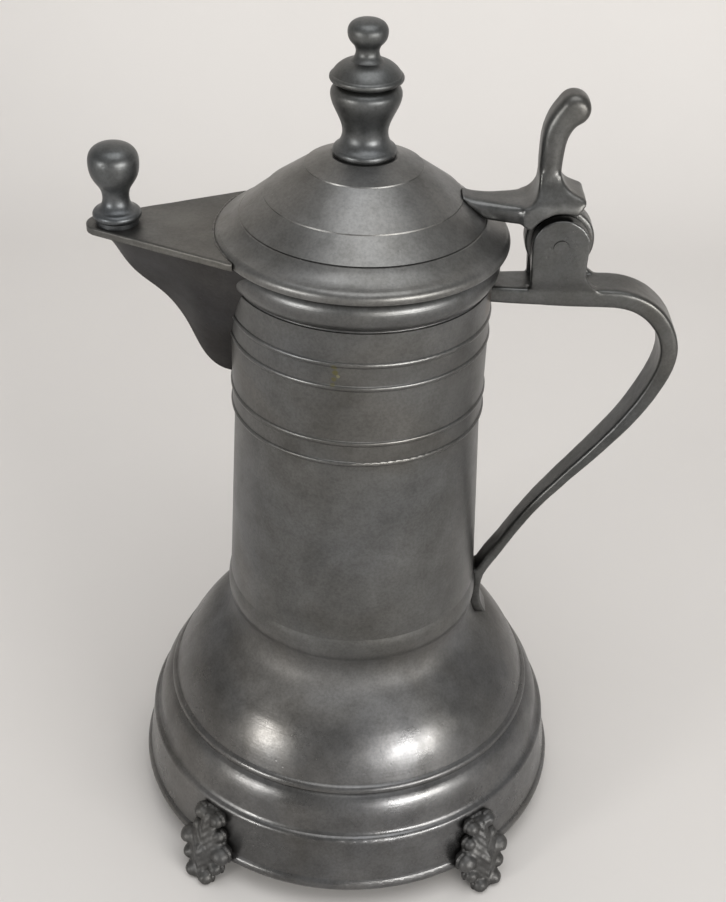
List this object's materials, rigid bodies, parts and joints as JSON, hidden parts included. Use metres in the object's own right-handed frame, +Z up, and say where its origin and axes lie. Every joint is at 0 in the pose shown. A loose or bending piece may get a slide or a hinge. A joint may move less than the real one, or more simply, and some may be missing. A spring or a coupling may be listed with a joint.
{
  "type": "lidded flagon",
  "caption": "Tall footed flagon with a tapering tube on a bell base, beak spout, strap handle, and hinged lid with a finial, thumb lever and spout cover.",
  "frame": {"origin": "on the axis of the tube, on the table under the feet", "axes": "+Z up along the axis of the tube, +X towards the handle, -X towards the spout, +Y completes the right-handed frame"},
  "size_m": [0.2105, 0.1744, 0.3257],
  "materials": {
    "pewter_turned": "worn satin with fine turning marks",
    "pewter_cast": "cast, worn satin",
    "pewter_sheet": "dull, darkened",
    "pin_metal": "dull, peened"
  },
  "bodies": {
    "jug": {"body": "pewter_turned", "base_skirt": "pewter_turned", "base_floor": "pewter_sheet", "spout": "pewter_sheet", "handle": "pewter_cast", "hinge_pin": "pin_metal", "foot_front_left": "pewter_cast", "foot_front_right": "pewter_cast", "foot_back_left": "pewter_cast", "foot_back_right": "pewter_cast"},
    "lid": {"lid": "pewter_turned", "lid_bracket": "pewter_cast", "spout_cover": "pewter_sheet", "spout_knob": "pewter_turned", "finial_stem": "pewter_turned", "finial_cap": "pewter_turned"}
  },
  "joints": [
    {"name": "lid_hinge", "type": "hinge", "parent": "jug", "child": "lid", "pos_m": [0.068, 0, 0.2525], "axis": [0, 1, 0], "range_deg": [0, 95]}
  ]
}
